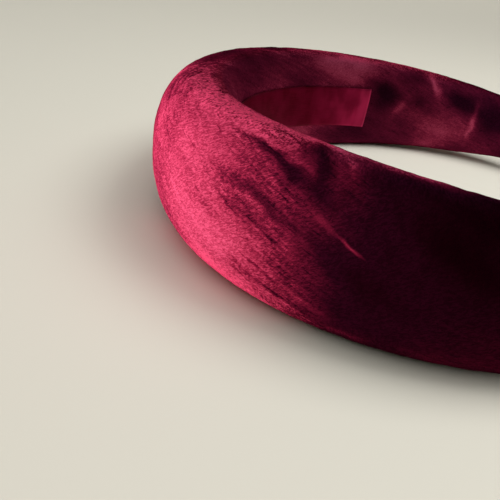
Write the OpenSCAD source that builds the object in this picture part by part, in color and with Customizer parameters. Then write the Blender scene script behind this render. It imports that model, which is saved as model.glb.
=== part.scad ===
// Padded headband: a thick velvet-covered pad bent into an open ring, with a ribbon lining
// along the middle of its inner face. It lies on its side, as it rests on a table.
// +X points to the open side, Y runs from arm to arm and +Z is up. The origin is at the
// bottom, under the middle of the whole.

/* [Band] */
// Radius of the inner face over the crown
crown_radius = 61; // [54:0.5:72]
// Radius of the inner face along the two arms
arm_radius = 86; // [70:1:130]
// Length of the inner face from the crown's middle to where an arm begins
crown_length = 60; // [40:1:80]
// Length of the inner face from the crown's middle to a tip
half_length = 168; // [140:1:185]

/* [Pad] */
// Width of the pad where it is widest, from edge to edge
pad_width = 41.5; // [28:0.5:60]
// Thickness of the pad where it is thickest
pad_thickness = 26; // [12:0.5:32]
// Width of the pad where its rounded tip begins
tip_width = 20; // [12:0.5:26]
// Thickness of the pad where its rounded tip begins
tip_thickness = 7; // [4:0.5:12]
// Length over which a tip rounds off
tip_round = 9; // [5:0.5:14]
// Height of the widest line above the inner face, as a share of the thickness
edge_height = 0.47; // [0.3:0.01:0.6]
// Roundness of the outer face: 1 is an ellipse and less is squarer
outer_roundness = 0.86; // [0.7:0.01:1]
// Roundness of the inner face: 1 is an ellipse and less is flatter
inner_roundness = 0.8; // [0.6:0.01:0.9]
// Depth by which the soft edge flattens where it lies on a table
rest_flat = 0.4; // [0.1:0.05:1]

/* [Folds] */
// Depth of the deepest small fold inside an arm
fold_depth = 0.9; // [0.2:0.1:1.5]
// Length along the band of one small fold
fold_length = 9; // [6:0.5:14]

/* [Ribbon] */
// Width of the ribbon lining
ribbon_width = 16.5; // [8:0.5:20]
// Thickness of the ribbon
ribbon_thickness = 1; // [1:0.1:2]
// Length of the ribbon from the crown's middle to each end
ribbon_half_length = 88; // [60:1:120]
// Length of the hem folded under at each end of the ribbon
hem_length = 4; // [3:0.5:8]
// Extra thickness of the folded hem
hem_rise = 0.5; // [0.2:0.1:1]
// Gap between the ribbon and the pad
ribbon_gap = 0.2; // [0.1:0.05:0.3]

/* [Hidden] */

// Columns of the sections table: how far the width and the thickness are from the tip's (0) to
// the largest (1). Its rows are evenly spaced from the crown's middle to the tip.
WIDTH = 0;
THICKNESS = 1;
sections = [
    [0.95, 0.96],
    [1.00, 1.00],
    [0.96, 0.94],
    [0.75, 0.82],
    [0.42, 0.49],
    [0.00, 0.00],
];

// Columns of the folds table: where a fold is between the ribbon's end (0) and the rounded tip
// (1), which half of the inner face it creases (1 upper, -1 lower) and its share of fold_depth
AT = 0;
HALF = 1;
DEPTH = 2;
folds = [
    [0.18, -1, 0.6],
    [0.41, 1, 1.0],
    [0.69, -1, 0.8],
];

// Fineness of the meshes
station_step = 3.2;
section_points = 36;
cap_sections = 5;
cap_last_angle = 76;
ribbon_columns = 6;

// Shares of the half length between which the band lies on the table
rest_from = 0.2;
rest_to = 0.6;

// Path of the inner face: heading, position and outward direction at a signed length from the
// crown's middle. It is one arc over the crown and a flatter one along each arm.
crown_turn = crown_length / crown_radius * 180 / PI;
function turn(s) = abs(s) < crown_length
    ? abs(s) / crown_radius * 180 / PI
    : crown_turn + (abs(s) - crown_length) / arm_radius * 180 / PI;
function path_x(s) = abs(s) < crown_length
    ? crown_radius * (1 - cos(turn(s)))
    : crown_radius * (1 - cos(crown_turn)) + arm_radius * (cos(crown_turn) - cos(turn(s)));
function path_y(s) = abs(s) < crown_length
    ? crown_radius * sin(turn(s))
    : crown_radius * sin(crown_turn) + arm_radius * (sin(turn(s)) - sin(crown_turn));
function on_band(s, out, z) = [
    path_x(s) - out * cos(turn(s)),
    (s < 0 ? -1 : 1) * (path_y(s) + out * sin(turn(s))),
    z,
];

// Smooth curve through one column of the sections table
last_row = len(sections) - 1;
function row(i, column) = i > last_row
    ? 2 * sections[last_row][column] - sections[last_row - 1][column]
    : sections[abs(i)][column];
function smooth(a, b, c, d, t) = b + t * ((c - a) / 2
    + t * ((2 * a - 5 * b + 4 * c - d) / 2 + t * (3 * b - a - 3 * c + d) / 2));
function share(s, column) =
    let (place = min(abs(s) / half_length, 1) * last_row, i = min(floor(place), last_row - 1))
    smooth(row(i - 1, column), row(i, column), row(i + 1, column), row(i + 2, column), place - i);

// Width and thickness of the pad at a length along the band, rounded off at the tip
cap_start = half_length - tip_round;
function cap_share(s) = sqrt(1 - pow(min(max(abs(s) - cap_start, 0) / tip_round, 1), 2));
function width_at(s) =
    cap_share(s) * (tip_width + (pad_width - tip_width) * share(s, WIDTH));
function thickness_at(s) =
    cap_share(s) * (tip_thickness + (pad_thickness - tip_thickness) * share(s, THICKNESS));
function edge_out(s) = edge_height * thickness_at(s);

// Depth of the small folds at a length along the band and a share of the half width
function fold_at(fold) = ribbon_half_length + fold[AT] * (cap_start - ribbon_half_length);
function sum(list, i = 0) = i < len(list) ? list[i] + sum(list, i + 1) : 0;
function fold_dent(s, z_share) = fold_depth * sum([for (fold = folds)
    fold[DEPTH] * max(fold[HALF] * z_share, 0)
        * exp(-pow((abs(s) - fold_at(fold)) / (fold_length / 2), 2))
]);

// One point round the pad's section: 0 degrees is the middle of the outer face, 90 the upper
// edge and 180 the middle of the inner face
function pad_point(s, angle) =
    let (
        outer = cos(angle) > 0,
        roundness = outer ? outer_roundness : inner_roundness,
        rise = pow(abs(cos(angle)), roundness),
        z_share = sign(sin(angle)) * pow(abs(sin(angle)), roundness),
        out = outer
            ? edge_out(s) + (thickness_at(s) - edge_out(s)) * rise
            : edge_out(s) * (1 - rise) + rise * fold_dent(s, z_share)
    )
    on_band(s, out, z_share * width_at(s) / 2);

// Sections of the pad from tip to tip
body_steps = ceil(cap_start / station_step);
arm_stations = concat(
    [for (i = [1 : body_steps]) cap_start * i / body_steps],
    [for (i = [1 : cap_sections]) cap_start + tip_round * sin(cap_last_angle * i / cap_sections)]
);
function both_ways(arm) = concat([for (i = [len(arm) - 1 : -1 : 0]) -arm[i]], [0], arm);
pad_rings = [for (s = both_ways(arm_stations))
    [for (i = [0 : section_points - 1]) pad_point(s, 360 * i / section_points)]
];

// Resting pose: the whole band tips until its tapered arms meet the table too
function edge_x(s) = on_band(s, edge_out(s), 0).x;
rest_drop = (width_at(rest_from * half_length) - width_at(rest_to * half_length)) / 2;
rest_run = edge_x(rest_to * half_length) - edge_x(rest_from * half_length);
rest_tilt = atan(rest_drop / rest_run);
function tipped(p) = [
    p.x * cos(rest_tilt) + p.z * sin(rest_tilt),
    p.y,
    p.z * cos(rest_tilt) - p.x * sin(rest_tilt),
];
tipped_points = [for (ring = pad_rings) for (p = ring) tipped(p)];
table_z = min([for (p = tipped_points) p.z]) + rest_flat;
tipped_xs = [for (p = tipped_points) p.x];
middle_x = (min(tipped_xs) + max(tipped_xs)) / 2;
function at_rest(p) =
    let (q = tipped(p))
    [q.x - middle_x, q.y, max(q.z - table_z, 0)];

// Sections of the ribbon: its back follows the pad's inner face, a gap away
hem_start = ribbon_half_length - hem_length;
ribbon_steps = ceil(hem_start / station_step);
ribbon_arm = concat(
    [for (i = [1 : ribbon_steps]) hem_start * i / ribbon_steps],
    [hem_start + hem_rise, ribbon_half_length]
);
function inner_out(s, z) = edge_out(s)
    * (1 - pow(1 - pow(2 * abs(z) / width_at(s), 2 / inner_roundness), inner_roundness / 2));
function ribbon_depth(s) = ribbon_thickness + (abs(s) > hem_start ? hem_rise : 0);
function ribbon_row(s, behind) = [for (i = [0 : ribbon_columns])
    let (z = ribbon_width * (i / ribbon_columns - 0.5))
    on_band(s, inner_out(s, z) - ribbon_gap - behind, z)
];
function backwards(list) = [for (i = [len(list) - 1 : -1 : 0]) list[i]];
ribbon_rings = [for (s = both_ways(ribbon_arm))
    concat(ribbon_row(s, 0), backwards(ribbon_row(s, ribbon_depth(s))))
];

// Closed solid through a row of rings of points, laid on the table
module through_rings(rings) {
    count = len(rings[0]);
    last = len(rings) - 1;
    skin = [for (r = [0 : last - 1]) for (i = [0 : count - 1])
        let (a = r * count + i, b = r * count + (i + 1) % count)
        for (triangle = [[a, a + count, b], [b, a + count, b + count]]) triangle
    ];
    first_cap = [for (i = [0 : count - 1]) i];
    last_cap = [for (i = [count - 1 : -1 : 0]) last * count + i];
    points = [for (ring = rings) for (p = ring) at_rest(p)];
    polyhedron(points, concat(skin, [first_cap, last_cap]), convexity = 6);
}

module pad() {
    color("#7a0f2e") through_rings(pad_rings);
}

module ribbon_lining() {
    color("#5e0a22") through_rings(ribbon_rings);
}

pad();
ribbon_lining();
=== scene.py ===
"""Looks of the padded headband: crushed velvet pad, satin ribbon lining, floor, light and camera."""

import math

import bpy
import numpy as np
from mathutils import Matrix, Vector


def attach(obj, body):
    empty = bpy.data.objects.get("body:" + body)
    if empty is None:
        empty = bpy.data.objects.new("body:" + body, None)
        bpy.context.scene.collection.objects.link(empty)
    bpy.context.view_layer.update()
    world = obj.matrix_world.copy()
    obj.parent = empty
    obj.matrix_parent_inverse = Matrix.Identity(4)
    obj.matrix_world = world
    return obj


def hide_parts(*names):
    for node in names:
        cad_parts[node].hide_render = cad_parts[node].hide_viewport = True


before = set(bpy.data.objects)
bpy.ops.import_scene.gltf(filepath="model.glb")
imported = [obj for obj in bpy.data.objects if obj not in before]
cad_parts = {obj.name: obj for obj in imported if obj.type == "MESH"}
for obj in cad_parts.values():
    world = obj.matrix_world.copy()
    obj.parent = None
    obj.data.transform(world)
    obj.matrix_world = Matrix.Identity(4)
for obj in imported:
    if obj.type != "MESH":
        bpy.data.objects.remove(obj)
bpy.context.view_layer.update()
MM = 0.001

# Path of the inner face, as the CAD has it: an arc over the crown and a flatter one along each arm
CROWN_RADIUS = 61 * MM
ARM_RADIUS = 86 * MM
CROWN_LENGTH = 60 * MM
HALF_LENGTH = 168 * MM
CROWN_TURN = CROWN_LENGTH / CROWN_RADIUS
ARM_CENTRE = (
    CROWN_RADIUS - (CROWN_RADIUS - ARM_RADIUS) * math.cos(CROWN_TURN),
    (CROWN_RADIUS - ARM_RADIUS) * math.sin(CROWN_TURN),
)

# The pad's section, also the CAD's
PAD_WIDTH = 41.5 * MM
PAD_THICKNESS = 26 * MM
TIP_WIDTH = 20 * MM
TIP_THICKNESS = 7 * MM
TIP_ROUND = 9 * MM
EDGE_SHARE = 0.47
OUTER_ROUNDNESS = 0.86
INNER_ROUNDNESS = 0.8
# Width and thickness at even steps from the crown to the tip, as shares of the way from the tip's
# to the largest
WIDTH_SHARES = (0.95, 1, 0.96, 0.75, 0.42, 0)
THICKNESS_SHARES = (0.96, 1, 0.94, 0.82, 0.49, 0)
# A tip's rounding stops this near to its end, so that its last section isn't a point
TIP_CLOSED = 0.9999

# Small folds inside an arm: share of the way from the ribbon's end to the rounded tip, half of the
# inner face (1 upper, -1 lower) and share of the depth
FOLDS = ((0.18, -1, 0.6), (0.41, 1, 1.0), (0.69, -1, 0.8))
FOLD_DEPTH = 0.9 * MM
FOLD_LENGTH = 9 * MM

# How far the band tips at rest, and where the middle of its crown's inner face then is in the CAD
REST_TILT = math.radians(2.354)
CROWN_AT = np.array((-52.065, 0, 21.041)) * MM

# Velvet cover: rings along each arm and round each tip, points in a ring, and how many ring steps
# are left between the last ring and the tip's point
COVER_RINGS = 65
COVER_TIP_RINGS = 5
COVER_TIP_GAP = 0.6
COVER_AROUND = 42
# Steps that measure a section's outline, so that those points lie evenly
OUTLINE_STEPS = 2000
# Its filling: how far inside the form it starts, the pressure, the steps and the longest move
COVER_INSET = 0.8 * MM
COVER_PRESSURE = 4
COVER_FRAMES = 20
COVER_MOST = 1.5 * MM
# Its spare cloth as a share, which wrinkles the inside of the arms: the most, and how much of that
# is everywhere. The rest comes in between these lengths from the crown's middle, and towards the
# inner face from this share of the thickness.
SLACK_MOST = 0.06
SLACK_LEAST = 0.15
SLACK_ALONG = (70 * MM, 100 * MM)
SLACK_DEPTH = 0.6
# Rounds of smoothing that tell its broad swelling from its wrinkles
WRINKLE_ROUNDS = 8
# Subdivisions of the filled cover
COVER_DIVISIONS = 2

# Relief of the pile where it is crushed, and random layers over it: height, size and seed
CRUSH_RELIEF = 0.22 * MM
LUMPS = ((0.05 * MM, 7 * MM, 21), (0.03 * MM, 2.6 * MM, 22))

# Ribbon lining: the strip, its waves, and its hems, which lift its face over their last stretch
RIBBON_WIDTH = 16.5 * MM
RIBBON_HALF = 88 * MM
RIBBON_THICKNESS = 0.22 * MM
RIBBON_LIFT = 0.25 * MM
RIBBON_STEPS = 120
RIBBON_ACROSS = 16
RIBBON_WAVE = 0.12 * MM
RIBBON_WAVE_SIZE = 22 * MM
RIBBON_WAVE_SEED = 11
HEM_LENGTH = 4 * MM
HEM_LIFT = 0.35 * MM
HEM_RISE = 1 * MM
HEM_STEPS = 6
HEM_BEND_STEPS = 4

# Painted light over the crown's near side, which faces the key: degrees round the band from the
# outer middle, the mm along it where that starts and is full, and how bright the pile is painted
# there; short of that start the near arm stays in painted shade
PAINTED_LIGHT_ROWS = (
    (-50, -78, -54, 0.92),
    (-15, -77, -52, 1.09),
    (5, -77, -49, 0.99),
    (20, -79, -41, 0.93),
    (40, -81, -40, 0.85),
    (60, -78, -41, 0.85),
    (85, -82, -39, 0.94),
    (105, -102, -48, 0.97),
)
# Painted shade dims it again by this much towards the crown's middle, which turns away from the key, over
# these mm
CROWN_SHADE = 0.4
CROWN_SHADE_ALONG = (-38, -8)
# The far side and the inner face have a plain nap, from these mm and degrees on
PLAIN_NAP = 0.4
PLAIN_ALONG = (-15, 30)
PLAIN_ROUND = (95, 125)

# Crushed places of the pile, partly painted light and shade: painted shade along the crown's left
# limb, painted highlights along the near arm's top edge and on the far arm's small folds. Columns:
# mm along the band, degrees round it from the outer middle, half length and half width in mm, lean
# from the band's direction in degrees, and strength
CRUSH_COLUMNS = ("along", "round", "half_length", "half_width", "lean", "strength")
NEAR_CRUSHES_AND_LIGHT = (
    (-57, 51, 8.5, 1.05, 17, -0.31),
    (-53, 57, 5, 0.7, 20, -0.3),
    (-54, 63, 5, 0.8, 20, 0.22),
    (-52, 88, 4, 3, 30, -0.14),
    (-60, 46, 2.2, 1.4, 0, -0.2),
    (-49, 62, 2, 1.0, 30, -0.25),
    (-64.5, 59, 5.5, 1.6, 70, -0.3),
    (-61, 84, 5, 1.7, 62, -0.32),
    (-69.5, 70, 4, 0.8, 65, 0.22),
    (-58, 66, 5, 1.4, 50, 0.12),
    (-49, 62, 5, 3, 30, 0.15),
    (-57, 25, 7, 0.8, 17, -0.36),
    (-56, 14, 5, 0.8, 15, -0.17),
    (-50, 29, 4, 0.7, 15, -0.25),
    (-47, 5, 4, 1.0, 10, -0.22),
    (-60, -22, 6, 2.5, 15, -0.14),
    (-57, -22, 6, 0.7, 20, -0.3),
    (-60, 33, 5, 1.0, 15, 0.2),
    (-77, -43, 3, 1.5, 0, 0.2),
    # Painted shade along the crown's left limb, where it turns away from the key
    (-31, -22, 12, 4.5, 31, -0.32),
    (-30, 0, 6, 5, 40, -0.13),
    (-36, -2, 4, 3, 0, 0.07),
    (-36, 28, 4, 4.5, 0, 0.12),
    (-80, 92, 8, 3, 0, 0.08),
    (-61, 66, 4, 2.5, 40, -0.15),
    # Painted highlight along the near arm's top edge
    (-75, 100, 13, 4, 0, 0.12),
    (-64, 76, 3, 2.5, 60, -0.1),
    (-59, 72, 3.5, 2, 45, -0.12),
    # Painted shade along the crown's lower left limb
    (-38, -45, 8, 4.5, 0, -0.3),
    (-22, 40, 5, 4, 0, 0.2),
    (-48, 40, 5, 3, 0, 0.14),
    (-44, 58, 4, 4, 0, 0.1),
    (-66, 80, 4, 4, 0, 0.14),
    (-84, -34, 15, 9, 0, 0.1),
    (-73, -45, 6, 1.6, 0, 0.2),
    (-44, -40, 4, 2.5, 0, 0.14),
    (-62, 95, 9, 3, 20, 0.12),
    # Painted highlight along the near arm's top edge
    (-90, 98, 16, 2.6, 0, 0.3),
    (-91, 48, 17, 9, 85, -0.25),
    (-60, 20, 5, 2, 15, 0.1),
    (-81, 88, 3, 9, 90, 0.1),
    (-65, 88, 6, 4, 0, -0.14),
    (-46, 52, 9, 5, 20, -0.12),
    (-26, 100, 3, 1.6, 40, -0.35),
    (-23, 60, 3, 1.0, 30, -0.15),
)
FAR_CRUSHES_AND_LIGHT = (
    (18, 88, 22, 6, 0, -0.18),
    (2, 145, 14, 12, 0, 0.2),
    (27, 125, 9, 12, 0, -0.14),
    (70, 119, 9, 2.5, -15, 0.2),
    (80, 118, 15, 9, -8, 0.58),
    (14, 102, 9, 4, 0, 0.12),
    (36, 102, 4, 3, 0, -0.12),
    (53, 103, 8, 4, 0, 0.18),
    (70, 101, 4, 4, 0, -0.12),
    (82, 135, 5, 4, 0, 0.2),
    (56, 222, 9, 8, 0, 0.45),
    (67, 200, 8, 12, 0, 0.15),
    (88, 215, 18, 6, 0, -0.2),
    (95, 157, 5, 7, 0, -0.28),
    (99, 168, 7, 4, 30, -0.2),
    (104, 140, 5, 5, 0, -0.12),
    # Painted highlight on a small fold inside the far arm
    (103.5, 175, 4.5, 2, -48, 0.36),
    (107, 124, 5, 3, 0, -0.25),
    # Painted highlight on a small fold inside the far arm
    (116.4, 132, 5, 1.3, 56, 0.5),
    (114, 121, 2.5, 2.5, 0, 0.2),
    (112, 161, 4, 3, 0, -0.25),
    (123, 205, 11, 7, 0, 0.42),
    (118, 238, 7, 5, 0, 0.28),
    (133, 226, 7, 7, 0, -0.26),
    (128, 149, 8.5, 4, 20, -0.55),
    # Painted highlight on a small fold inside the far arm
    (135.7, 177, 8, 1.3, 89, 0.52),
    (134.5, 200, 4, 3, 0, 0.15),
    (136, 132, 6, 3, 0, -0.16),
    (144, 165, 9, 7, 80, -0.4),
)
MM_PER_DEGREE = 0.27
# Fine lines of painted light and shade, too thin for the mesh, in the same columns: a painted
# highlight along a crease and its faint start, then dark partings of the pile, partly parted pile
# and partly painted shade
PAINTED_LINES = (
    (-73.2, 20, 2.4, 0.34, 23, 0.69),
    (-68, 28, 2.8, 0.6, 28, 0.32),
    (-58, -14, 4, 0.25, 20, -0.32),
    (-62, -28, 4, 0.25, 20, -0.3),
    (-54, -25, 3, 0.25, 20, -0.3),
    (-60, 8, 4, 0.25, 18, -0.3),
    (-52, 14, 3, 0.25, 18, -0.3),
    (-55, 58, 4, 0.25, 20, -0.3),
)
# How far they wander in mm, the scale of that noise, and where they fade out, in half widths
LINE_WANDER = 1.6
LINE_WANDER_SCALE = 0.4
LINE_END = 1.6

# Crushed places scattered where the photo doesn't look: from and to mm along the band, from and to
# degrees round it, and how many
HIDDEN_ZONES = (
    (22, 160, -75, 80, 34),
    (-160, -114, -75, 80, 12),
    (-160, -34, 130, 230, 22),
)
HIDDEN_SEED = 31
# Ranges of their sizes and strength, and their lean's mean and spread
HIDDEN_HALF_LENGTH = (5, 13)
HIDDEN_HALF_WIDTH = (1.2, 4.5)
HIDDEN_LEAN = (25, 25)
HIDDEN_LEAST = 0.4
HIDDEN_STRENGTH = 0.42

# Random layers that make the nap's chart wander: height in mm along the band or in degrees round
# it, size and seed
WANDER = ((0.6, 25 * MM, 3), (0.4, 5 * MM, 13))
SWAY = ((1.5, 20 * MM, 4), (1.5, 5 * MM, 14))
# Soft patches over the nap, stronger on the far arm's outer face and towards the near arm's tip,
# where the pile also lies brighter
PATCH_STRETCH = (1, 1, 0.7)
PATCH_SIZE = 40 * MM
PATCH_SEED = 5
PATCH_LEAST = 0.12
PATCH_MORE = 0.25
FAR_FACE_ALONG = (20, 60)
FAR_FACE_ROUND = (80, 110)
NEAR_TIP_ALONG = (105, 122)
NEAR_TIP_LIGHT = 0.36
# Streaks along the nap, in mm of the pile's own places
STREAK_STRETCH = (0.25, 1, 1)
STREAK_HEIGHT = 0.06
STREAK_SIZE = 9
STREAK_SEED = 6
# Degrees by which streaks and tufts turn round the band in each mm along it
STREAK_TWIST = 1.45
DASH_TWIST = -2.4

# Degrees above and below the outer middle over which the band's edges begin, and both end inside
TOP_EDGE = (50, 86)
BOTTOM_EDGE = (20, 50)
EDGE_END = (105, 125)
# How much more the tufts stir there than on the outer face: everywhere, where the near side is lit,
# more so above, and less above where it is dark and on the far side; inside they are calmer
STIR_LEAST = 0.05
STIR_LIT = 0.45
STIR_LIT_ABOVE = 0.75
STIR_DARK_ABOVE = 0.4
STIR_FAR = 0.15
STIR_CALM = 0.5
STIR_LIT_ALONG = (-65, -45)
STIR_FAR_ALONG = (-36, 10)
STIR_ABOVE = (-40, 40)
STIR_CALM_ROUND = (100, 125)

# Velvet colours, a ramp of painted light: from painted shade where the pile turns away from the key
# to painted highlights on tips that face it
SHADE_COLOUR = (0.009, 0.0003, 0.002, 1)
GAP_COLOUR = (0.017, 0.001, 0.0055, 1)
TUFT_COLOUR = (0.029, 0.0018, 0.0092, 1)
PILE_COLOUR = (0.17, 0.007, 0.029, 1)
LIT_TIP_COLOUR = (0.74, 0.037, 0.104, 1)
HIGHLIGHT_TIP_COLOUR = (0.735, 0.081, 0.18, 1)
# Painted sheen: on the tips at the band's edges, and as a tint over the inner face
EDGE_SHEEN_COLOUR = (0.98, 0.075, 0.19, 1)
INNER_SHEEN_TINT = (0.98, 1.45, 1.36, 1)
VELVET_SHEEN_TINT = (1.0, 0.04, 0.17, 1)
# Levels between which each gives way to the next: of the nap, the tufts, their light or the stir
SHADE_NAP = (-0.38, -0.02)
TUFT_LEVELS = (0.15, 0.85)
PILE_LIGHT = (-0.05, 0.62)
TIP_LIGHT = (0.4, 1.3)
INNER_STIR = (0.5, 0.95)
# Heights of the combs and swirls that make the pile's rows
COMB_HEIGHT = 0.95
SWIRL_HEIGHT = 0.8
# From dim to lit nap: share of the rows that shows, and height of the tufts
LIT_NAP = (0.45, 0.9)
ROW_SHARES = (1.0, 0.22)
TUFT_HEIGHTS = (0.45, 0.38)
# From dark to dim nap: share of rows and tufts together that shows
DARK_NAP = (0.0, 0.56)
DARK_SHARES = (0.14, 1.0)
# Noise levels where a tuft goes from gap to tip and where a dark hair begins, and the hair's depth
TUFT_NOISE = (0.34, 0.66)
HAIR_NOISE = (0.63, 0.78)
HAIR_DEPTH = 0.24

# Satin colours
DARK_THREAD_COLOUR = (0.085, 0.0004, 0.0085, 1)
LIGHT_THREAD_COLOUR = (0.145, 0.0013, 0.017, 1)
CLOUD_TONE_AND_REFLECTION_COLOUR = (0.3, 0.008, 0.05, 1)
# Painted reflection towards the ribbon's ends
PAINTED_REFLECTION_COLOUR = (0.55, 0.02, 0.1, 1)
# Painted highlight at the hems and the ribbon's end
HEM_HIGHLIGHT_COLOUR = (0.75, 0.05, 0.17, 1)
SATIN_TINT = (1.0, 0.2, 0.35, 1)
# Share of long threads in the weave, the rest being ribs, its noise levels from dark to light
# threads, and their roughness
THREAD_SHARE = 0.7
THREAD_NOISE = (0.3, 0.7)
THREAD_ROUGHNESS = (0.5, 0.36)
# Clouds of lighter colour, partly random tone and partly painted reflection: noise levels and how much of
# their colour shows at most
CLOUD_NOISE = (0.35, 0.65)
CLOUD_MOST = 0.25
# Painted reflection between these shares of the ribbon's half length, weaker and stronger with the clouds
REFLECTION_ALONG = (0.64, 1.04)
REFLECTION_MOST = 0.6
REFLECTION_NOISE = (0.34, 0.66)
REFLECTION_CLOUDS = (0.55, 1.5)
# Painted highlight over the last mm before the hem, and from and to these mm before the ribbon's end
HEM_EDGE = 1.0
HEM_LIGHT = 0.12
END_EDGE = (0.8, 0.2)
END_LIGHT = 0.4

# Depth of the bumps of both cloths
BUMP_DEPTH = 0.1 * MM

# Camera at the photo's angle: place, direction and roll in degrees, lens and sensor in mm
CAMERA_AT = Vector((-41.0, -160.7, 73.3)) * MM
CAMERA_AZIMUTH = -0.82
CAMERA_DIP = 30.97
CAMERA_ROLL = 6.0
CAMERA_LENS = 35.56
CAMERA_SENSOR = 36
CAMERA_NEAR = 1 * MM

# Floor and the round wall that it curves up to, in metres
FLOOR_GAP = 0.2 * MM
FLOOR_SIDES = 72
FLOOR_FLAT_RINGS = (0.3, 0.8)
FLOOR_BEND = 1.2
FLOOR_BEND_STEPS = 12
WALL_RADIUS = 2.6
WALL_HEIGHT = 2.0
FLOOR_COLOUR = (0.5, 0.48, 0.415, 1)
SKY_COLOUR = (0.96, 0.97, 1, 1)
SKY_STRENGTH = 0.3


def add_object(name, data):
    obj = bpy.data.objects.new(name, data)
    bpy.context.scene.collection.objects.link(obj)
    return obj


def apply_modifiers(obj):
    bpy.ops.object.select_all(action="DESELECT")
    obj.select_set(True)
    bpy.context.view_layer.objects.active = obj
    for modifier in list(obj.modifiers):
        bpy.ops.object.modifier_apply(modifier=modifier.name)


def vectors_of(items, name):
    flat = np.empty(len(items) * 3)
    items.foreach_get(name, flat)
    return flat.reshape(-1, 3)


def points_of(mesh):
    return vectors_of(mesh.vertices, "co")


def normals_of(mesh):
    return vectors_of(mesh.vertex_normals, "vector")


def move_points(mesh, points):
    mesh.vertices.foreach_set("co", points.ravel())
    mesh.update()


def store(mesh, name, values):
    """Keeps a number or a vector for each point of the mesh, for its material to read."""
    kind, field = ("FLOAT_VECTOR", "vector") if values.ndim == 2 else ("FLOAT", "value")
    mesh.attributes.new(name, kind, "POINT").data.foreach_set(field, values.ravel())


def smoothstep(value, low, high):
    share = np.clip((value - low) / (high - low), 0, 1)
    return share * share * (3 - 2 * share)


def ripples(points, size, seed, waves=40, spread=(0.6, 1.5)):
    """Smooth random heights of about -1 to 1, with bumps about half of size across."""
    random = np.random.default_rng(seed)
    way = random.normal(size=(waves, 3))
    way /= np.linalg.norm(way, axis=1)[:, None]
    way *= (2 * math.pi / size * random.uniform(*spread, waves))[:, None]
    start = random.uniform(0, 2 * math.pi, waves)
    return np.sin(points @ way.T + start).sum(1) / math.sqrt(waves)


def layered(points, layers):
    """Ripples of several heights, sizes and seeds on top of each other."""
    return sum(height * ripples(points, size, seed) for height, size, seed in layers)


# Form of the pad


def share_at(along, shares):
    """Catmull-Rom curve through the shares."""
    last = len(shares) - 1
    step = np.clip(np.abs(along) / HALF_LENGTH, 0, 1) * last
    i = np.minimum(step.astype(int), last - 1)
    f = step - i
    row = np.array((shares[1],) + tuple(shares) + (shares[-1],), float)
    a, b, c, d = row[i], row[i + 1], row[i + 2], row[i + 3]
    return b + 0.5 * f * (c - a + f * (2 * a - 5 * b + 4 * c - d + f * (3 * (b - c) + d - a)))


def cap_share(along):
    """1 along the band, going down to 0 round the end of a tip."""
    past = np.clip((np.abs(along) - HALF_LENGTH + TIP_ROUND) / TIP_ROUND, 0, TIP_CLOSED)
    return np.sqrt(1 - past**2)


def width_at(along):
    return cap_share(along) * (TIP_WIDTH + (PAD_WIDTH - TIP_WIDTH) * share_at(along, WIDTH_SHARES))


def thickness_at(along):
    swell = (PAD_THICKNESS - TIP_THICKNESS) * share_at(along, THICKNESS_SHARES)
    return cap_share(along) * (TIP_THICKNESS + swell)


def band_places(points):
    """Signed length along the band, distance out from its inner face and height over its middle."""
    cos, sin = math.cos(REST_TILT), math.sin(REST_TILT)
    q = points - CROWN_AT
    x = q[:, 0] * cos - q[:, 2] * sin
    height = q[:, 0] * sin + q[:, 2] * cos
    y = np.abs(q[:, 1])
    arm_turn = np.arctan2(y - ARM_CENTRE[1], ARM_CENTRE[0] - x)
    on_arm = arm_turn > CROWN_TURN
    along = np.where(on_arm, CROWN_LENGTH + (arm_turn - CROWN_TURN) * ARM_RADIUS,
                     np.arctan2(y, CROWN_RADIUS - x) * CROWN_RADIUS)
    out = np.where(on_arm, np.hypot(y - ARM_CENTRE[1], ARM_CENTRE[0] - x) - ARM_RADIUS,
                   np.hypot(y, CROWN_RADIUS - x) - CROWN_RADIUS)
    return along * np.where(q[:, 1] < 0, -1, 1), out, height


def round_angle(along, out, height):
    """Degrees round the section from the outer middle: 90 is the top edge, 180 the inner middle."""
    thickness = thickness_at(along)
    outwards = (out - EDGE_SHARE * thickness) / (0.5 * thickness)
    return np.degrees(np.arctan2(height / width_at(along) * 2, outwards))


def at_rest(along, out, height):
    """Points at lengths along the band, distances out from its inner face and heights over it."""
    length = np.abs(along)
    over = length < CROWN_LENGTH
    turn = np.where(over, length / CROWN_RADIUS, CROWN_TURN + (length - CROWN_LENGTH) / ARM_RADIUS)
    radius = np.where(over, CROWN_RADIUS, ARM_RADIUS) + out
    x = np.where(over, CROWN_RADIUS, ARM_CENTRE[0]) - radius * np.cos(turn)
    y = np.where(over, 0, ARM_CENTRE[1]) + radius * np.sin(turn)
    cos, sin = math.cos(REST_TILT), math.sin(REST_TILT)
    y = y * np.where(along < 0, -1, 1)
    points = CROWN_AT + np.stack([x * cos + height * sin, y, height * cos - x * sin], -1)
    points[..., 2] = np.maximum(points[..., 2], 0)
    return points


def fold_dent(along, share):
    """Depth of the inner face's small folds at a length along the band and a share of the half width."""
    dent = 0
    for at, half, depth in FOLDS:
        middle = RIBBON_HALF + at * (HALF_LENGTH - TIP_ROUND - RIBBON_HALF)
        near = np.exp(-((np.abs(along) - middle) / (FOLD_LENGTH / 2)) ** 2)
        dent = dent + FOLD_DEPTH * depth * np.maximum(half * share, 0) * near
    return dent


def pad_form(along, angle):
    """Points of the pad's form: 0 is the middle of the outer face, a quarter turn the top edge."""
    cos, sin = np.cos(angle), np.sin(angle)
    roundness = np.where(cos > 0, OUTER_ROUNDNESS, INNER_ROUNDNESS)
    rise = np.abs(cos) ** roundness
    share = np.sign(sin) * np.abs(sin) ** roundness
    thickness = thickness_at(along)
    edge = EDGE_SHARE * thickness
    outer = edge + (thickness - edge) * rise
    inner = edge * (1 - rise) + rise * fold_dent(along, share)
    return at_rest(along, np.where(cos > 0, outer, inner), share * width_at(along) / 2)


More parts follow.
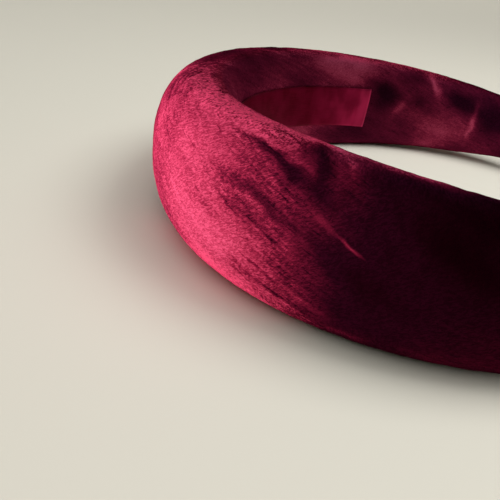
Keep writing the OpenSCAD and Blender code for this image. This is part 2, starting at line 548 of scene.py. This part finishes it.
def inner_out(along, height):
    """How far the pad's inner face lies out at a height over its middle: 0 at the middle itself."""
    share = np.minimum(np.abs(height) / width_at(along) * 2, 1) ** (1 / INNER_ROUNDNESS)
    rise = np.sqrt(1 - share**2) ** INNER_ROUNDNESS
    return EDGE_SHARE * thickness_at(along) * (1 - rise)


def section_outline():
    """Angles round the crown's section, its points and how far round it each one is, as a share."""
    angles = np.linspace(0, 2 * math.pi, OUTLINE_STEPS + 1)
    points = pad_form(np.zeros_like(angles), angles)
    steps = np.linalg.norm(np.diff(points, axis=0), axis=1)
    lengths = np.concatenate([[0], np.cumsum(steps)])
    return angles, points, lengths / lengths[-1]


def even_angles(count):
    """Angles round the section that lie evenly along its outline."""
    angles, _, shares = section_outline()
    return np.interp(np.arange(count) / count, shares, angles)


def round_share(around):
    """How far round the section's outline these degrees are, as a share."""
    _, points, shares = section_outline()
    degrees = round_angle(*band_places(points)) % 360
    degrees[0], degrees[-1] = 0, 360
    return np.interp(around % 360, degrees, shares)


# Materials


class Nodes:
    """Short calls for building a material's nodes."""

    def __init__(self, name):
        self.material = bpy.data.materials.new(name)
        self.material.use_nodes = True
        self.tree = self.material.node_tree
        self.shader = self.tree.nodes["Principled BSDF"]

    def put(self, value, socket):
        if isinstance(value, bpy.types.NodeSocket):
            self.tree.links.new(value, socket)
        else:
            socket.default_value = value

    def fill(self, node, values):
        for name, value in values.items():
            self.put(value, node.inputs[name])

    def add(self, kind, values, **settings):
        node = self.tree.nodes.new(kind)
        for name, value in settings.items():
            setattr(node, name, value)
        self.fill(node, values)
        return node

    def attribute(self, name, output="Vector"):
        return self.add("ShaderNodeAttribute", {}, attribute_name=name).outputs[output]

    def math(self, operation, a, b=0.0):
        return self.add("ShaderNodeMath", {0: a, 1: b}, operation=operation).outputs[0]

    def swing(self, value, height):
        """Turns a value of 0 to 1 into one that swings round 0, this high from end to end."""
        return self.math("MULTIPLY", self.math("SUBTRACT", value, 0.5), height)

    def span(self, value, low, high, to_low=0.0, to_high=1.0):
        values = {"Value": value, "From Min": low, "From Max": high, "To Min": to_low, "To Max": to_high}
        return self.add("ShaderNodeMapRange", values, interpolation_type="SMOOTHSTEP").outputs[0]

    def mix(self, factor, a, b, blend="MIX"):
        values = {0: factor, 6: a, 7: b}
        return self.add("ShaderNodeMix", values, data_type="RGBA", blend_type=blend).outputs[2]

    def noise(self, vector, stretch, scale, detail=2.0, roughness=0.5, distortion=0.0):
        """Noise of 0 to 1 over places in mm; a stretch below 1 draws it out along that axis."""
        places = self.add("ShaderNodeVectorMath", {0: vector, 1: stretch}, operation="MULTIPLY")
        values = {"Vector": places.outputs[0], "Scale": scale, "Detail": detail,
                  "Roughness": roughness, "Distortion": distortion}
        return self.add("ShaderNodeTexNoise", values).outputs[0]

    def bump(self, height, strength):
        values = {"Strength": strength, "Distance": BUMP_DEPTH, "Height": height}
        return self.add("ShaderNodeBump", values).outputs[0]


def pile_tufts(n, pile, rim):
    """Tufts, from 0 in a gap to 1 at a tip: fine dashes over the faces and coarser at the edges."""
    dashes = n.attribute("dashes")
    fine = n.noise(dashes, stretch=(0.6, 1, 1), scale=2.4, roughness=0.6, distortion=1.0)
    coarse = n.noise(pile, stretch=(1, 0.5, 0.5), scale=2.4, roughness=0.6, distortion=0.6)
    tufts = n.math("ADD", fine, n.math("MULTIPLY", rim, n.math("SUBTRACT", coarse, fine)))
    return n.span(tufts, *TUFT_NOISE)


def pile_light(n, pile, nap_and_light, stir, tufts):
    """Painted light on the pile: its nap with painted light and shade, made rough by tufts and rows, with
    dark hairs and fine lines.
    """
    hairs = n.noise(pile, stretch=(0.12, 1, 1), scale=2.4, detail=1.0)
    combs = n.noise(pile, stretch=(0.18, 1, 1), scale=1.1, detail=3.0, roughness=0.6)
    swirls = n.noise(pile, stretch=(0.5, 1, 1), scale=0.22, detail=3.0, roughness=0.55)
    rows = n.math("ADD", n.swing(combs, COMB_HEIGHT), n.swing(swirls, SWIRL_HEIGHT))
    rows = n.math("MULTIPLY", rows, n.span(nap_and_light, *LIT_NAP, *ROW_SHARES))
    rough = n.math("ADD", n.swing(tufts, n.span(nap_and_light, *LIT_NAP, *TUFT_HEIGHTS)), rows)
    rough = n.math("MULTIPLY", rough, n.span(nap_and_light, *DARK_NAP, *DARK_SHARES))
    light = n.math("ADD", nap_and_light, n.math("MULTIPLY", rough, stir))
    light = n.math("SUBTRACT", light, n.span(hairs, *HAIR_NOISE, 0.0, HAIR_DEPTH))
    return n.math("ADD", light, painted_lines(n, pile))


def painted_lines(n, pile):
    """Painted light and shade of the fine lines, each a thin ellipse with soft edges, made to wander a
    little.
    """
    wobble = n.add("ShaderNodeTexNoise", {"Vector": pile, "Scale": LINE_WANDER_SCALE}).outputs["Color"]
    values = {0: wobble, 1: (0, LINE_WANDER, 0), 2: n.attribute("place")}
    moved = n.add("ShaderNodeVectorMath", values, operation="MULTIPLY_ADD").outputs[0]
    total = 0.0
    for along, around, half_length, half_width, lean, strength in PAINTED_LINES:
        middle = (along, around * MM_PER_DEGREE + LINE_WANDER / 2, 0)
        values = {"Vector": moved, "Location": middle, "Rotation": (0, 0, math.radians(lean)),
                  "Scale": (half_length, half_width, 1)}
        local = n.add("ShaderNodeMapping", values, vector_type="TEXTURE").outputs[0]
        away = n.add("ShaderNodeVectorMath", {0: local}, operation="LENGTH").outputs["Value"]
        total = n.math("ADD", n.span(away, 0.0, LINE_END, strength, 0.0), total)
    return total


def pile_colour(n, nap_and_light, rim, stir, tufts, light):
    """Colour of the pile by its nap and painted light; painted sheen makes the edges' tips and the inner
    face pinker.
    """
    colour = n.mix(n.span(tufts, *TUFT_LEVELS), GAP_COLOUR, TUFT_COLOUR)
    colour = n.mix(n.span(nap_and_light, *SHADE_NAP), SHADE_COLOUR, colour)
    colour = n.mix(n.span(light, *PILE_LIGHT), colour, PILE_COLOUR)
    # Painted highlights on the tips where the painted light is strongest
    bright = n.span(light, *TIP_LIGHT)
    colour = n.mix(bright, colour, n.mix(bright, LIT_TIP_COLOUR, HIGHLIGHT_TIP_COLOUR))
    # Painted sheen on the tips along the band's top and bottom edges
    colour = n.mix(n.math("MULTIPLY", rim, bright), colour, EDGE_SHEEN_COLOUR)
    # Painted sheen that tints the calm inner face pinker
    return n.mix(n.span(stir, *INNER_STIR, 1.0, 0.0), colour, INNER_SHEEN_TINT, blend="MULTIPLY")


def velvet():
    """Crimson crushed velvet, painted bright or dark by its nap and by painted light and shade."""
    n = Nodes("velvet")
    pile = n.attribute("pile")
    # Nap, which carries the velvet's painted light and shade
    nap_and_light = n.attribute("nap_and_light", "Fac")
    rim = n.attribute("rim", "Fac")
    stir = n.attribute("stir", "Fac")
    tufts = pile_tufts(n, pile, rim)
    light = pile_light(n, pile, nap_and_light, stir, tufts)
    n.fill(n.shader, {
        "Base Color": pile_colour(n, nap_and_light, rim, stir, tufts, light),
        "Normal": n.bump(tufts, strength=0.5),
        "Roughness": 0.8,
        "Specular IOR Level": 0.0,
        "Sheen Weight": 0.02,
        "Sheen Roughness": 0.22,
        "Sheen Tint": VELVET_SHEEN_TINT,
    })
    return n.material


def satin_colour(n, weave, thread):
    """Dark red threads under soft clouds, partly painted reflection, with a painted reflection growing
    towards the ribbon's ends and painted highlights at the hems.
    """
    clouds = n.noise(weave, stretch=(1.2, 0.8, 1), scale=0.11)
    colour = n.mix(n.span(thread, *THREAD_NOISE), DARK_THREAD_COLOUR, LIGHT_THREAD_COLOUR)
    # Clouds, partly random tone and partly painted reflection
    colour = n.mix(n.span(clouds, *CLOUD_NOISE, 0.0, CLOUD_MOST), colour, CLOUD_TONE_AND_REFLECTION_COLOUR)
    separate = n.add("ShaderNodeSeparateXYZ", {"Vector": weave})
    from_crown = n.math("ABSOLUTE", separate.outputs["X"])
    end = RIBBON_HALF / MM
    hem = (RIBBON_HALF - HEM_LENGTH) / MM
    # Painted reflection, growing towards the ribbon's ends
    reflection = n.span(from_crown, REFLECTION_ALONG[0] * end, REFLECTION_ALONG[1] * end, 0.0, REFLECTION_MOST)
    reflection = n.math("MULTIPLY", reflection, n.span(clouds, *REFLECTION_NOISE, *REFLECTION_CLOUDS))
    colour = n.mix(reflection, colour, PAINTED_REFLECTION_COLOUR)
    # Painted highlights at the hem and at the ribbon's end
    colour = n.mix(n.span(from_crown, hem - HEM_EDGE, hem, 0.0, HEM_LIGHT), colour, HEM_HIGHLIGHT_COLOUR)
    last = n.span(from_crown, end - END_EDGE[0], end - END_EDGE[1], 0.0, END_LIGHT)
    return n.mix(last, colour, HEM_HIGHLIGHT_COLOUR)


def satin():
    """Ribbon satin: fine threads along it, finer ribs across it and a soft gloss."""
    n = Nodes("satin")
    weave = n.attribute("weave")
    threads = n.noise(weave, stretch=(0.15, 4.5, 1), scale=1.0, roughness=0.6)
    ribs = n.noise(weave, stretch=(5.0, 0.3, 1), scale=1.0, detail=1.0)
    thread = n.math("ADD", n.math("MULTIPLY", threads, THREAD_SHARE),
                    n.math("MULTIPLY", ribs, 1 - THREAD_SHARE))
    n.fill(n.shader, {
        "Base Color": satin_colour(n, weave, thread),
        "Normal": n.bump(thread, strength=0.35),
        "Roughness": n.span(thread, *THREAD_NOISE, *THREAD_ROUGHNESS),
        "Specular IOR Level": 0.02,
        "Specular Tint": SATIN_TINT,
    })
    return n.material


def floor_paint():
    n = Nodes("floor")
    n.fill(n.shader, {"Base Color": FLOOR_COLOUR, "Roughness": 0.95, "Specular IOR Level": 0.1})
    return n.material


# Nap of the velvet, with its painted light and shade


def scattered_crushes():
    """Rows like those of the crushed places, over the faces that the photo doesn't show."""
    random = np.random.default_rng(HIDDEN_SEED)
    rows = []
    for along_from, along_to, round_from, round_to, count in HIDDEN_ZONES:
        for _ in range(count):
            place = (random.uniform(along_from, along_to), random.uniform(round_from, round_to))
            size = (random.uniform(*HIDDEN_HALF_LENGTH), random.uniform(*HIDDEN_HALF_WIDTH))
            lean = random.normal(*HIDDEN_LEAN)
            strength = random.choice((-1, 1)) * random.uniform(HIDDEN_LEAST, 1) * HIDDEN_STRENGTH
            rows.append(place + size + (lean, strength))
    return tuple(rows)


def crushes_and_light_at(along, around):
    """The crushed places alone, with their painted light and shade: above 0 where the pile stands to the
    light or is painted lit.
    """
    total = 0
    for row in NEAR_CRUSHES_AND_LIGHT + FAR_CRUSHES_AND_LIGHT + scattered_crushes():
        crushed = dict(zip(CRUSH_COLUMNS, row))
        lean = math.radians(crushed["lean"])
        a = along - crushed["along"]
        g = ((around - crushed["round"] + 180) % 360 - 180) * MM_PER_DEGREE
        u = (a * math.cos(lean) + g * math.sin(lean)) / crushed["half_length"]
        v = (g * math.cos(lean) - a * math.sin(lean)) / crushed["half_width"]
        total = total + crushed["strength"] * np.exp(-(u**2) - v**2)
    return total


def nap_and_light_at(along, around):
    """How bright the pile is painted: a broad painted lit part over the crown's near side, painted shade
    towards the crown's middle, and the crushed places.
    """
    rounds, *columns = zip(*PAINTED_LIGHT_ROWS)
    begins, full, bright = (np.interp(around, rounds, column) for column in columns)
    nap_and_light = bright * smoothstep(along, begins, full)
    nap_and_light = nap_and_light - CROWN_SHADE * smoothstep(along, *CROWN_SHADE_ALONG)
    inner = smoothstep(np.abs(around), *PLAIN_ROUND)
    nap_and_light = nap_and_light + (PLAIN_NAP - nap_and_light) * np.maximum(inner, smoothstep(along, *PLAIN_ALONG))
    return nap_and_light + crushes_and_light_at(along, around)


def cover_nap_and_light(points, along, around, pile):
    """Nap and painted light at the cover's points: the chart, made to wander, with soft patches and
    streaks over it.
    """
    nap_and_light = nap_and_light_at(along + layered(points, WANDER), around + layered(points, SWAY))
    far_face = smoothstep(along, *FAR_FACE_ALONG) * (1 - smoothstep(np.abs(around), *FAR_FACE_ROUND))
    near_tip = smoothstep(-along, *NEAR_TIP_ALONG)
    patches = PATCH_LEAST + PATCH_MORE * np.maximum(far_face, near_tip)
    nap_and_light = nap_and_light + NEAR_TIP_LIGHT * near_tip
    nap_and_light = nap_and_light + patches * ripples(points * PATCH_STRETCH, PATCH_SIZE, PATCH_SEED)
    return nap_and_light + STREAK_HEIGHT * ripples(pile * STREAK_STRETCH, STREAK_SIZE, STREAK_SEED)


def rim_at(around):
    """1 along the band's top and bottom edges, and 0 over its outer and inner faces."""
    edge = np.maximum(smoothstep(around, *TOP_EDGE), smoothstep(-around, *BOTTOM_EDGE))
    return edge * (1 - smoothstep(np.abs(around), *EDGE_END))


def stir_at(along, around, rim):
    """How strongly tufts and rows show: 1 over the outer face, other at its edges, less inside."""
    lit = smoothstep(along, *STIR_LIT_ALONG)
    far = smoothstep(along, *STIR_FAR_ALONG)
    above = smoothstep(around, *STIR_ABOVE)
    calm = smoothstep(np.abs(around), *STIR_CALM_ROUND)
    lively = STIR_LEAST + (STIR_LIT + STIR_LIT_ABOVE * above) * lit * (1 - far)
    lively = lively - STIR_DARK_ABOVE * above * (1 - lit) - STIR_FAR * far
    return 1 + lively * rim - STIR_CALM * calm


def twisted(along, shares, twist):
    """Places on a round bar, in mm, that turns by this many degrees in each mm along the band."""
    turned = 2 * math.pi * shares - np.radians(twist * along / MM)
    radius = (width_at(along) + thickness_at(along)) / 4 / MM
    return np.stack([along / MM, radius * np.cos(turned), radius * np.sin(turned)], 1)


def dress(mesh):
    """Stores what the velvet reads: where each point is for its noises, its nap with its painted light
    and shade, edges and stir.
    """
    points = points_of(mesh)
    along, out, height = band_places(points)
    around = round_angle(along, out, height)
    shares = round_share(around)
    pile = twisted(along, shares, STREAK_TWIST)
    along_mm = along / MM
    rim = rim_at(around)
    store(mesh, "pile", pile)
    store(mesh, "dashes", twisted(along, shares, DASH_TWIST))
    store(mesh, "place", np.stack([along_mm, around * MM_PER_DEGREE, 0 * along], 1))
    store(mesh, "rim", rim)
    store(mesh, "stir", stir_at(along_mm, around, rim))
    # Nap, with the painted light and shade that it carries
    store(mesh, "nap_and_light", cover_nap_and_light(points, along_mm, around, pile))


# Velvet pad


def cover_faces(rings, around):
    """Faces between rings of points, and a fan to the point past each end."""
    faces = []
    for ring in range(rings - 1):
        for i in range(around):
            a, b = ring * around + i, ring * around + (i + 1) % around
            faces.append((a, a + around, b + around, b))
    last = (rings - 1) * around
    for i in range(around):
        j = (i + 1) % around
        faces.append((rings * around, i, j))
        faces.append((rings * around + 1, last + j, last + i))
    return faces


def cover_mesh():
    """An even grid of faces over the pad's form, closed by a point at each tip."""
    body = np.linspace(0, HALF_LENGTH - TIP_ROUND, COVER_RINGS + 1)[1:]
    turns = np.arange(1, COVER_TIP_RINGS + 1) / (COVER_TIP_RINGS + COVER_TIP_GAP) * math.pi / 2
    cap = HALF_LENGTH - TIP_ROUND * (1 - np.sin(turns))
    arm = np.concatenate([body, cap])
    along = np.concatenate([-arm[::-1], [0], arm])
    grid = pad_form(along[:, None], even_angles(COVER_AROUND)[None])
    tips = pad_form(np.array((-HALF_LENGTH, HALF_LENGTH)), np.zeros(2))
    points = np.concatenate([grid.reshape(-1, 3), tips])
    mesh = bpy.data.meshes.new("velvet_pad")
    mesh.from_pydata(points, [], cover_faces(*grid.shape[:2]))
    return mesh


def smoothed(mesh, values, rounds):
    """Values at the mesh's points, averaged with their neighbours this many times."""
    ends = np.empty(len(mesh.edges) * 2, int)
    mesh.edges.foreach_get("vertices", ends)
    a, b = ends.reshape(-1, 2).T
    count = np.bincount(ends, minlength=len(values))
    for _ in range(rounds):
        near = np.zeros_like(values)
        np.add.at(near, a, values[b])
        np.add.at(near, b, values[a])
        values = 0.5 * values + 0.5 * near / count[:, None]
    return values


def add_slack(cover, form):
    """Marks how much spare cloth the cover has at each point of the form."""
    along, out, _ = band_places(form)
    inside = smoothstep(-out, -SLACK_DEPTH * thickness_at(along), 0)
    share = smoothstep(np.abs(along), *SLACK_ALONG) * inside
    slack = cover.vertex_groups.new(name="slack")
    for i, weight in enumerate(share):
        slack.add([i], SLACK_LEAST + (1 - SLACK_LEAST) * float(weight), "REPLACE")


def add_cloth(cover):
    settings = cover.modifiers.new("cloth", "CLOTH").settings
    settings.use_pressure = True
    settings.uniform_pressure_force = COVER_PRESSURE
    settings.effector_weights.gravity = 0
    settings.quality = 6
    settings.mass = 0.2
    settings.bending_stiffness = 0.1
    settings.vertex_group_shrink = "slack"
    settings.shrink_min = 0
    settings.shrink_max = -SLACK_MOST


def inflate(cover):
    """Fills the cover with air from a smaller start, and lays its wrinkles on the form itself."""
    form = points_of(cover.data)
    start = form - COVER_INSET * normals_of(cover.data)
    move_points(cover.data, start)
    add_slack(cover, form)
    add_cloth(cover)
    scene = bpy.context.scene
    for number in range(1, COVER_FRAMES + 1):
        scene.frame_set(number)
    filled = cover.evaluated_get(bpy.context.evaluated_depsgraph_get())
    moves = points_of(filled.data) - start
    cover.modifiers.clear()
    cover.vertex_groups.clear()
    scene.frame_set(1)
    lengths = np.maximum(np.linalg.norm(moves, axis=1), 1e-9)
    moves *= np.minimum(1, COVER_MOST / lengths)[:, None]
    move_points(cover.data, form + moves - smoothed(cover.data, moves, WRINKLE_ROUNDS))


def crush(cover):
    """Raises and dents the fine mesh where its pile is crushed, but never below the floor."""
    points = points_of(cover.data)
    along, out, height = band_places(points)
    relief = crushes_and_light_at(along / MM, round_angle(along, out, height))
    rise = CRUSH_RELIEF * np.clip(relief, -1, 1) + layered(points, LUMPS)
    points += rise[:, None] * normals_of(cover.data)
    points[:, 2] = np.maximum(points[:, 2], 0)
    move_points(cover.data, points)


def make_pad():
    """The velvet cover, which stands for the pad's solid."""
    pad = add_object("velvet_pad", cover_mesh())
    inflate(pad)
    divide = pad.modifiers.new("fine", "SUBSURF")
    divide.levels = COVER_DIVISIONS
    apply_modifiers(pad)
    crush(pad)
    pad.data.shade_smooth()
    pad.data.materials.append(velvet())
    dress(pad.data)
    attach(pad, "root")
    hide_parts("pad")
    return pad


# Ribbon lining


def ribbon_profile():
    """Places along the band and lifts off the pad: the face, and a hem turned under each end."""
    hem_start = RIBBON_HALF - HEM_LENGTH
    face = np.linspace(-RIBBON_HALF, RIBBON_HALF, 2 * RIBBON_STEPS + 1)
    raised = HEM_LIFT * smoothstep(np.abs(face), hem_start - HEM_RISE, hem_start)
    top = [(s, RIBBON_LIFT + lift) for s, lift in zip(face, raised)]
    turns = [math.pi * step / HEM_BEND_STEPS for step in range(1, HEM_BEND_STEPS)]
    radius = HEM_LIFT / 2
    bend = [(RIBBON_HALF + radius * math.sin(turn), RIBBON_LIFT + radius * (1 + math.cos(turn)))
            for turn in turns]
    under = [(RIBBON_HALF - HEM_LENGTH * step / HEM_STEPS, RIBBON_LIFT) for step in range(HEM_STEPS + 1)]
    end = bend + under
    start = [(-s, lift) for s, lift in reversed(end)]
    return start + top + end


def ribbon_mesh():
    """A strip of faces on the pad's inner face, wavy by a hair."""
    heights = np.linspace(-RIBBON_WIDTH / 2, RIBBON_WIDTH / 2, RIBBON_ACROSS + 1)
    profile = ribbon_profile()
    across = len(heights)
    along, height = np.array([[(s, h) for h in heights] for s, _ in profile]).reshape(-1, 2).T
    lifts = np.repeat([lift for _, lift in profile], across)
    flat = np.stack([along, height, 0 * lifts], 1)
    waves = RIBBON_WAVE * ripples(flat, RIBBON_WAVE_SIZE, RIBBON_WAVE_SEED)
    points = at_rest(along, inner_out(along, height) - lifts - np.abs(waves), height)
    faces = [(a, a + 1, a + across + 1, a + across)
             for a in range(len(points) - across) if a % across != across - 1]
    mesh = bpy.data.meshes.new("satin_ribbon")
    mesh.from_pydata(points, [], faces)
    mesh.shade_smooth()
    store(mesh, "weave", flat / MM)
    return mesh


def make_ribbon():
    """The satin strip, which stands for the lining's solid."""
    ribbon = add_object("satin_ribbon", ribbon_mesh())
    ribbon.data.materials.append(satin())
    thick = ribbon.modifiers.new("thick", "SOLIDIFY")
    thick.thickness = RIBBON_THICKNESS
    thick.offset = 0
    apply_modifiers(ribbon)
    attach(ribbon, "root")
    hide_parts("ribbon_lining")
    return ribbon


# Camera, floor and light


def make_camera():
    """A camera at the photo's angle: it looks along +Y, dips down and rolls a little."""
    azimuth, dip, roll = (math.radians(v) for v in (CAMERA_AZIMUTH, CAMERA_DIP, CAMERA_ROLL))
    level = math.cos(dip)
    ahead = Vector((math.sin(azimuth) * level, math.cos(azimuth) * level, -math.sin(dip)))
    right = Vector((math.cos(azimuth), -math.sin(azimuth), 0))
    up = right.cross(ahead)
    rolled_right = right * math.cos(roll) + up * math.sin(roll)
    rolled_up = up * math.cos(roll) - right * math.sin(roll)
    turn = Matrix((rolled_right, rolled_up, -ahead)).transposed().to_4x4()
    camera = add_object("camera", bpy.data.cameras.new("camera"))
    camera.matrix_world = Matrix.Translation(CAMERA_AT) @ turn
    camera.data.lens = CAMERA_LENS
    camera.data.sensor_width = CAMERA_SENSOR
    camera.data.clip_start = CAMERA_NEAR
    bpy.context.scene.camera = camera


def floor_outline():
    """Radius and height from the flat middle over the bend to the wall's top."""
    turns = np.linspace(0, math.pi / 2, FLOOR_BEND_STEPS + 1)
    bend = [(WALL_RADIUS - FLOOR_BEND * (1 - math.sin(a)), FLOOR_BEND * (1 - math.cos(a))) for a in turns]
    return [(radius, 0) for radius in FLOOR_FLAT_RINGS] + bend + [(WALL_RADIUS, WALL_HEIGHT)]


def make_floor():
    """A pale floor that curves up into a round wall far away."""
    outline = floor_outline()
    turns = np.linspace(0, 2 * math.pi, FLOOR_SIDES, endpoint=False)
    points = [(0, 0, -FLOOR_GAP)]
    points += [(r * math.cos(t), r * math.sin(t), z - FLOOR_GAP) for r, z in outline for t in turns]
    faces = [(0, 1 + i, 1 + (i + 1) % FLOOR_SIDES) for i in range(FLOOR_SIDES)]
    for ring in range(len(outline) - 1):
        for i in range(FLOOR_SIDES):
            a = 1 + ring * FLOOR_SIDES + i
            b = 1 + ring * FLOOR_SIDES + (i + 1) % FLOOR_SIDES
            faces.append((a, a + FLOOR_SIDES, b + FLOOR_SIDES, b))
    mesh = bpy.data.meshes.new("floor")
    mesh.from_pydata(points, [], faces)
    mesh.shade_smooth()
    mesh.materials.append(floor_paint())
    floor = add_object("floor", mesh)
    return floor


def lights_only(light, objects):
    """Makes a lamp light these objects alone, as a flagged studio lamp does."""
    group = bpy.data.collections.new(light.name + "_lights")
    for obj in objects:
        group.objects.link(obj)
    light.light_linking.receiver_collection = group


def lamp(name, kind, azimuth, height, distance, power):
    """A lamp in a direction given in degrees, pointed at the object."""
    a, e = math.radians(azimuth), math.radians(height)
    towards = Vector((math.cos(a) * math.cos(e), math.sin(a) * math.cos(e), math.sin(e)))
    light = add_object(name, bpy.data.lights.new(name, kind))
    light.data.energy = power
    light.location = towards * distance
    light.rotation_euler = towards.to_track_quat("Z", "Y").to_euler()
    return light


def make_world():
    world = bpy.data.worlds.new("world")
    bpy.context.scene.world = world
    world.use_nodes = True
    sky = world.node_tree.nodes["Background"]
    sky.inputs["Color"].default_value = SKY_COLOUR
    sky.inputs["Strength"].default_value = SKY_STRENGTH
    bpy.context.scene.view_settings.view_transform = "Standard"


def make_lights(floor, parts):
    """A low key on the headband alone, and a soft sun and a fill on the floor alone."""
    key = lamp("key", "AREA", azimuth=178, height=12, distance=0.8, power=10.3)
    key.data.shape = "DISK"
    key.data.size = 0.4
    lights_only(key, parts)
    over = lamp("over", "SUN", azimuth=292, height=62, distance=1, power=2.75)
    over.data.angle = math.radians(80)
    lights_only(over, [floor])
    fill = lamp("fill", "AREA", azimuth=345, height=58, distance=0.55, power=2.2)
    fill.data.size = 0.3
    lights_only(fill, [floor])


make_camera()
pad = make_pad()
ribbon = make_ribbon()
make_lights(make_floor(), [pad, ribbon])
make_world()
